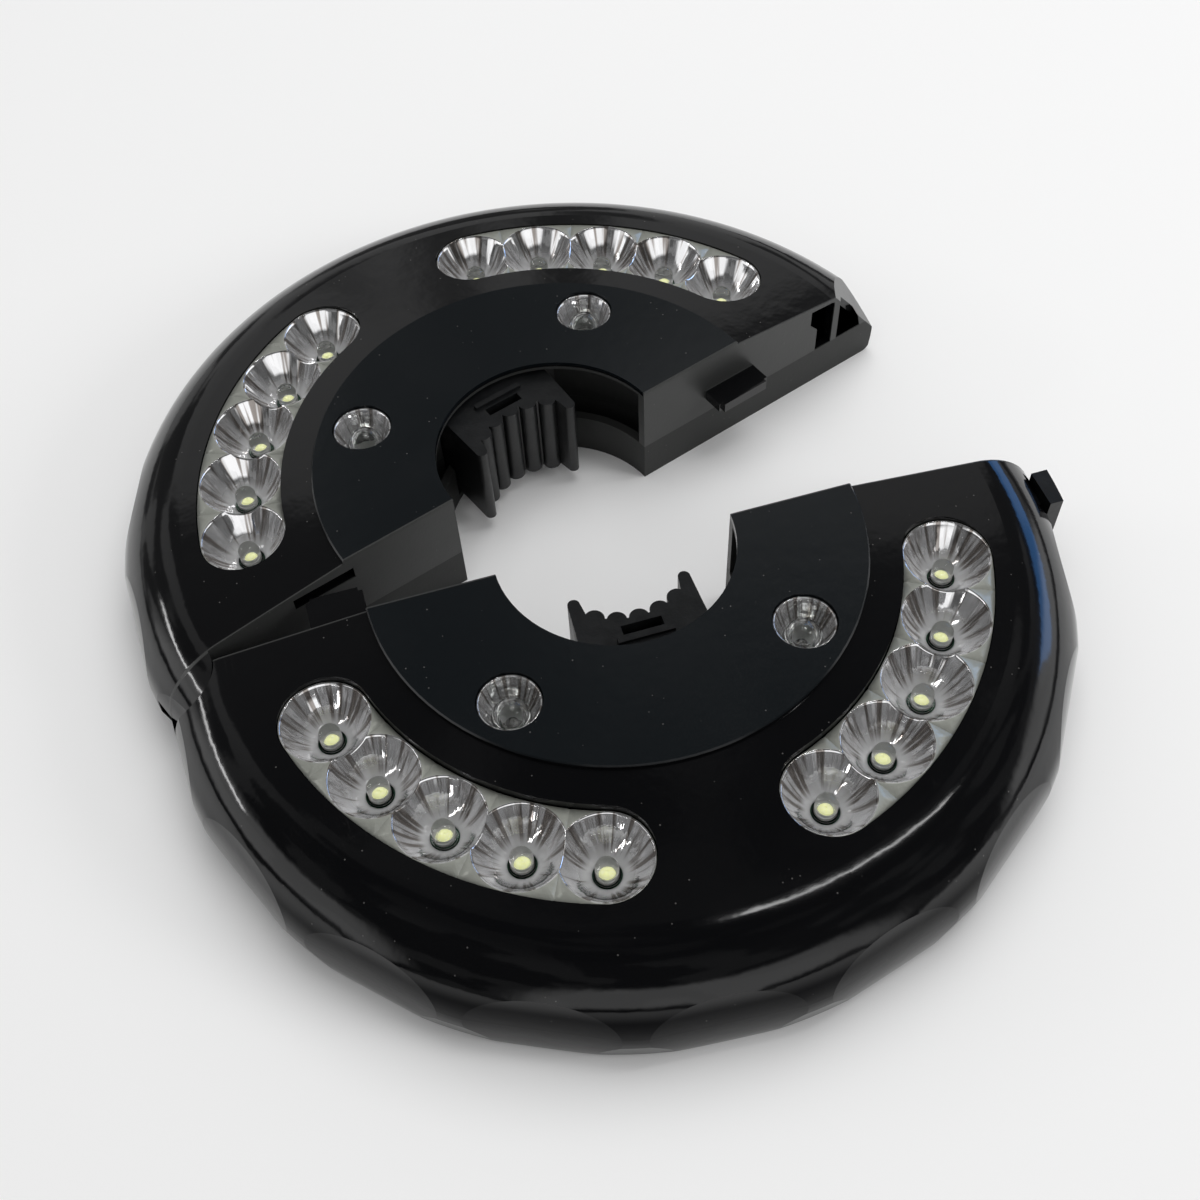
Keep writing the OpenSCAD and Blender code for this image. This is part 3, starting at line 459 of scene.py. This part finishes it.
# %% Mesh helper
def put_mesh(name, points, faces, uv=None, material=None):
    """A mesh object from arrays of points, quads and corner UVs, smooth, facing out."""
    a, b, c = (points[faces[:, k]] for k in (0, 1, 2))
    d = points[faces[:, 3]]
    volume = np.einsum("ij,ij->", np.cross(b - a, c - a) + np.cross(c - a, d - a), a)
    if volume < 0:
        faces = faces[:, ::-1]
        uv = None if uv is None else uv[:, ::-1]
    mesh = bpy.data.meshes.new(name)
    mesh.vertices.add(len(points))
    mesh.vertices.foreach_set("co", points.astype(np.float32).ravel())
    mesh.loops.add(faces.size)
    mesh.loops.foreach_set("vertex_index", faces.astype(np.int32).ravel())
    mesh.polygons.add(len(faces))
    mesh.polygons.foreach_set("loop_start", np.arange(0, faces.size, 4, dtype=np.int32))
    mesh.update(calc_edges=True)
    mesh.polygons.foreach_set("use_smooth", np.ones(len(faces), dtype=bool))
    if uv is not None:
        layer = mesh.uv_layers.new(name="around_and_out")
        layer.data.foreach_set("uv", uv.astype(np.float32).ravel())
    mesh.validate()
    thing = bpy.data.objects.new(name, mesh)
    scene.collection.objects.link(thing)
    if material:
        mesh.materials.append(material)
    return thing


def ring_faces(stations, around):
    """Quads of a closed grid, and the station and direction of each quad's corners.

    Station i joins i + 1 and direction j joins j + 1, and both wrap.  The corner
    directions run on to `around`, so that a texture keeps its step there."""
    i, j = np.meshgrid(np.arange(stations), np.arange(around), indexing="ij")
    i, j = i.ravel(), j.ravel()
    corner_i = np.stack([i, i, i + 1, i + 1], axis=1) % stations
    corner_j = np.stack([j, j + 1, j + 1, j], axis=1)
    return corner_i * around + corner_j % around, corner_i, corner_j


# %% Plated finish
def plated_finish():
    """Chrome in the cups, a duller grey-green on the land beyond them (v above 1).

    Painted reflections: brown streaks on the cup walls, and a less metallic,
    paler floor near the lamp as a painted highlight.
    """
    material, shader, tree = plain_material("plated_cups")
    uv = add_node(tree, "UVMap", uv_map="around_and_out").outputs[0]
    place = add_node(tree, "TexCoord").outputs["Object"]
    around, out, _ = add_node(tree, "SeparateXYZ", [(0, uv)]).outputs
    land = ramp(tree, out, 1.02, 1.04)
    # painted highlight: near the lamp the metal falls to half, so each cup's floor shows pale
    metal_share_painted_floor = maths(tree, "SUBTRACT", ramp(tree, out, 0.35, 0.8, 0.5, 0.88),
                 times(tree, land, 0.5))
    tree.links.new(metal_share_painted_floor, shader.inputs["Metallic"])
    angle = times(tree, around, 2 * math.pi)
    streak_place = add_node(tree, "CombineXYZ", [(0, maths(tree, "COSINE", angle)),
                                                 (1, maths(tree, "SINE", angle)),
                                                 (2, times(tree, out, 0.12))])
    streak = add_node(tree, "TexNoise", [("Vector", streak_place.outputs[0]), ("Scale", 4.2),
                                         ("Detail", 2.0)]).outputs["Fac"]
    # painted reflection: brown radial streaks in the colour of the cup walls
    painted_streaks = times(tree, ramp(tree, out, 0.40, 0.62),
                      ramp(tree, streak, 0.40, 0.50, 1.0, 0.0))
    tone = blend_colours(tree, painted_streaks, (0.98, 0.98, 0.99, 1), (0.34, 0.31, 0.29, 1))
    tree.links.new(blend_colours(tree, land, tone, (0.40, 0.41, 0.37, 1)),
                   shader.inputs["Base Color"])
    tree.links.new(plus(tree, 0.045, times(tree, land, 0.33)), shader.inputs["Roughness"])
    hammer = use(tree, skin_ripple, place, 900.0, 1.0)
    height = plus(tree, times(tree, streak, 1.2), times(tree, hammer, land, 1.5))
    bumped(tree, shader, height, 0.00008)
    return material


plated = plated_finish()
print("plated finish ready")

# %% Strips of cups
lamp_ring_r, window_half, seat_gap = 0.075, 0.0102, 0.0002
cup_r, cup_rim_z, cup_depth, lamp_hole_r = 0.0096, 0.0269, 0.0085, 0.0031
lamp_pitch, lamps = math.radians(13.36), 5
window_turns = {"left": math.radians(-135), "right": math.radians(-45)}
directions, cup_stations = 144, 22
lip_steps, lip_height, cup_skin = (0.00012, 0.0003, 0.00045), 0.00012, 0.00035
uv_shift = 0.37  # turns by which the streaks of one cup differ from the last one's


def cup_height(distance, radius, rim_z, depth):
    """Paraboloid: depth below the rim at the lamp's hole, rising with distance squared."""
    share = (distance ** 2 - lamp_hole_r ** 2) / (radius ** 2 - lamp_hole_r ** 2)
    return rim_z - depth * (1 - np.clip(share, 0, 1))


def cell_reach(phi, first, last):
    """Distance from a lamp to its cell's edge in direction phi (0 = away from the pole).

    The edge is the window's outer or inner arc, or the plane half way to a
    neighbour; beyond the first and last lamp it is the window's round end."""
    half = window_half - seat_gap
    cosine, sine = np.cos(phi), np.sin(phi)
    outer = -lamp_ring_r * cosine + np.sqrt((lamp_ring_r + half) ** 2 - (lamp_ring_r * sine) ** 2)
    under = (lamp_ring_r - half) ** 2 - (lamp_ring_r * sine) ** 2
    inner = np.where((cosine < 0) & (under > 0),
                     -lamp_ring_r * cosine - np.sqrt(np.maximum(under, 0)), np.inf)
    reach = np.minimum(outer, inner)
    slope = math.tan(lamp_pitch / 2)
    toward = np.abs(sine) - slope * cosine
    plane = np.where(toward > 1e-6, lamp_ring_r * slope / np.maximum(toward, 1e-6), np.inf)
    open_end = ((sine < 0) & first) | ((sine > 0) & last)
    return np.where(open_end, half, np.minimum(reach, plane))


def cup_strip(name, half, window):
    """Five cup cells, each a closed skin: cup, lip and land on top, the same below."""
    phi = (np.arange(directions) + 0.5) / directions * 2 * math.pi - math.pi
    points, faces, uvs, start = [], [], [], 0
    for k in range(lamps):
        reach = cell_reach(phi, k == 0, k == lamps - 1)
        steps = [lamp_hole_r + (np.minimum(cup_r, reach) - lamp_hole_r) * t
                 for t in np.linspace(0, 1, cup_stations)]
        steps += [np.minimum(cup_r + extra, reach) for extra in lip_steps]
        steps.append(reach)
        lift = [0.0] * cup_stations + [lip_height, lip_height, 0.0, 0.0]
        distance = np.array(steps)
        top = cup_height(distance, cup_r, cup_rim_z, cup_depth)
        top = top + np.array(lift)[:, None] * (distance > cup_r)
        distance = np.concatenate([distance, distance[::-1]])
        height = np.concatenate([top, top[::-1] - cup_skin])
        turn = window_turns[window] + (k - (lamps - 1) / 2) * lamp_pitch
        along = lamp_ring_r + distance * np.cos(phi)
        across = distance * np.sin(phi)
        x = along * math.cos(turn) - across * math.sin(turn)
        y = along * math.sin(turn) + across * math.cos(turn)
        quads, corner_i, corner_j = ring_faces(len(distance), directions)
        v = (distance / cup_r)[corner_i, corner_j % directions]
        uvs.append(np.stack([corner_j / directions + uv_shift * k, v], axis=2))
        points.append(np.stack([x.ravel(), y.ravel(), height.ravel()], axis=1))
        faces.append(quads + start)
        start += distance.size
    strip = put_mesh(name, to_half(np.concatenate(points), half), np.concatenate(faces),
                     np.concatenate(uvs), plated)
    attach(strip, half + "_half")
    return strip


for half in half_turn:
    for window in window_turns:
        node_side = window if half == "fixed" else {"left": "right", "right": "left"}[window]
        strip = cup_strip(half + "_cup_strip_" + node_side, half, window)
        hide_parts(half + "_reflector_" + node_side)
        print(strip.name, len(strip.data.polygons), "faces")

# %% Spot cups
def turned_rings(name, profile, centres, half, material, around=72):
    """A closed outline of (radius, height) points turned about each centre."""
    outline = np.array(profile)
    angle = np.arange(around) / around * 2 * math.pi
    quads, corner_i, corner_j = ring_faces(len(outline), around)
    v = outline[:, 0] / outline[:, 0].max()
    uv = np.stack([corner_j / around, v[corner_i]], axis=2)
    points = [np.stack([(c[0] + outline[:, :1] * np.cos(angle)).ravel(),
                        (c[1] + outline[:, :1] * np.sin(angle)).ravel(),
                        np.repeat(c[2] + outline[:, 1], around)], axis=1) for c in centres]
    faces = [quads + k * len(outline) * around for k in range(len(centres))]
    thing = put_mesh(name, to_half(np.concatenate(points), half), np.concatenate(faces),
                     np.concatenate([uv] * len(centres)), material)
    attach(thing, half + "_half")
    return thing


spot_ring_r, spot_cup_r, spot_rim_z, spot_depth = 0.0467, 0.0066, 0.0303, 0.0078
bowl_skin = 0.0005
spot_centres = [(spot_ring_r * math.cos(turn), spot_ring_r * math.sin(turn), 0.0)
                for turn in window_turns.values()]
radii = np.linspace(lamp_hole_r, spot_cup_r, 24)
bowl = np.stack([radii, cup_height(radii, spot_cup_r, spot_rim_z, spot_depth)], axis=1)
collar = np.array([(0.00668, spot_rim_z + 0.00012), (0.00685, spot_rim_z + 0.00012),
                   (0.00698, spot_rim_z), (0.007, spot_rim_z - 0.0016),
                   (0.0067, spot_rim_z - 0.0018)])
bowl_outline = np.concatenate([bowl, collar, (bowl - (0.0, bowl_skin))[::-1]])
for half in half_turn:
    cups = turned_rings(half + "_spot_bowls", bowl_outline, spot_centres, half, plated)
    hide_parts(half + "_spot_cups")
    print(cups.name, len(cups.data.polygons), "faces")

# %% [markdown]
# ## What sits inside the lamps
# Inside each clear lamp a small plated post carries the die under a drop of
# yellow-green phosphor with a painted glow.  The spot lamps get a near-black core
# as painted shade and stand under a clear domed lens that fills half of their cup.

# %% Phosphor and posts
def phosphor():
    """Yellow-green drop: grains move its tone, and it has a painted glow of that tone."""
    material, shader, tree = plain_material("phosphor_drop")
    place = add_node(tree, "TexCoord").outputs["Object"]
    tone = blend_colours(tree, use(tree, skin_ripple, place, 2500.0, 1.0),
                         (0.72, 0.76, 0.28, 1), (0.95, 0.95, 0.62, 1))
    for socket in ("Base Color", "Emission Color"):
        tree.links.new(tone, shader.inputs[socket])
    # painted glow: the drop shines by itself, standing in for light the clear epoxy keeps from it
    shader.inputs["Emission Strength"].default_value = 0.6
    shader.inputs["Roughness"].default_value = 0.5
    return material


phosphor_drop = phosphor()
lamp_post = finish("lamp_post", (0.62, 0.63, 0.60), (0.78, 0.78, 0.76), 0.3, scale=900.0)
# painted shade: a near-black core stands for the dark look of each spot lamp
painted_shade_core = finish("painted_shade_core", (0.02, 0.018, 0.015), (0.05, 0.045, 0.04), 0.3)
lamp_turns = [window + (k - (lamps - 1) / 2) * lamp_pitch
              for window in window_turns.values() for k in range(lamps)]
lamp_board_z, spot_board_z = cup_rim_z - 0.0089, cup_rim_z - 0.0049
lamp_centres = [(lamp_ring_r * math.cos(turn), lamp_ring_r * math.sin(turn), lamp_board_z)
                for turn in lamp_turns]
spot_seats = [(x, y, spot_board_z) for x, y, _ in spot_centres]
tip_r = 0.00002  # outlines stop this far from the axis
drop = [(tip_r, 0.0021), (0.0006, 0.0021), (0.0008, 0.00225), (0.0007, 0.0025),
        (0.0004, 0.0027), (tip_r, 0.00275)]
post = [(tip_r, 0.0003), (0.00235, 0.0003), (0.00235, 0.0016), (0.0016, 0.0014),
        (0.0012, 0.0016), (0.0012, 0.0022), (0.0008, 0.0021), (tip_r, 0.00205)]
core = [(tip_r, 0.0011), (0.0009, 0.0011), (0.0009, 0.0015), (0.0007, 0.0019),
        (0.0004, 0.0021), (tip_r, 0.0022)]
spot_post = [(tip_r, 0.00015), (0.0022, 0.00015), (0.0023, 0.0012), (0.0016, 0.0010),
             (tip_r, 0.0010)]
lens_seat_z = 0.0243
lens_curve = np.linspace(0, math.pi / 2, 12)
lens_top, lens_under = (
    np.stack([wide * np.cos(lens_curve), lens_seat_z + tall * np.sin(lens_curve)], axis=1)
    for wide, tall in ((0.0042, 0.0053), (0.0033, 0.0045)))
lens = np.maximum(np.concatenate([lens_top, lens_under[::-1]]), (tip_r, 0))
clear = finishes["lamp_epoxy"]
for half in half_turn:
    turned_rings(half + "_lamp_posts", post, lamp_centres, half, lamp_post, 24)
    turned_rings(half + "_phosphor", drop, lamp_centres, half, phosphor_drop, 24)
    turned_rings(half + "_spot_lenses", lens, spot_centres, half, clear, 48)
    turned_rings(half + "_spot_shade_cores", core, spot_seats, half, painted_shade_core, 24)
    turned_rings(half + "_spot_posts", spot_post, spot_seats, half, lamp_post,
                 24)
print("posts and drops for", 2 * len(lamp_centres), "lamps; posts, cores and lenses for",
      2 * len(spot_centres), "spot lamps")

# %% [markdown]
# ## Springs
# Each jaw rests on springs, and so does the latch.  A merged copy of each spring
# solid stands for it on its half, and its length and the travel that the joint
# takes are printed; the copy is not squashed.

# %% Springs
def giving_spring(node_name, body, length, travel):
    """A merged copy of a spring's solid on the body; prints its length and travel."""
    copied = nodes[node_name].data.copy()
    work = bmesh.new()
    work.from_mesh(copied)
    bmesh.ops.remove_doubles(work, verts=work.verts, dist=1e-7)
    work.to_mesh(copied)
    work.free()
    coil = bpy.data.objects.new(node_name + "_coil", copied)
    scene.collection.objects.link(coil)
    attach(coil, body)
    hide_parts(node_name)
    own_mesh(coil)
    print(coil.name, "gives", travel * 1000, "of", round(length * 1000, 1), "mm")


jaw_travel, latch_travel = 0.008, 0.002
low_corner, high_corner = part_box("fixed_jaw_springs")
jaw_length = high_corner[1] - low_corner[1]
for half in half_turn:
    giving_spring(half + "_jaw_springs", half + "_half",
                  jaw_length, jaw_travel)
low_corner, high_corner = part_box("latch_spring")
giving_spring("latch_spring", "fixed_half",
              high_corner[0] - low_corner[0], latch_travel)
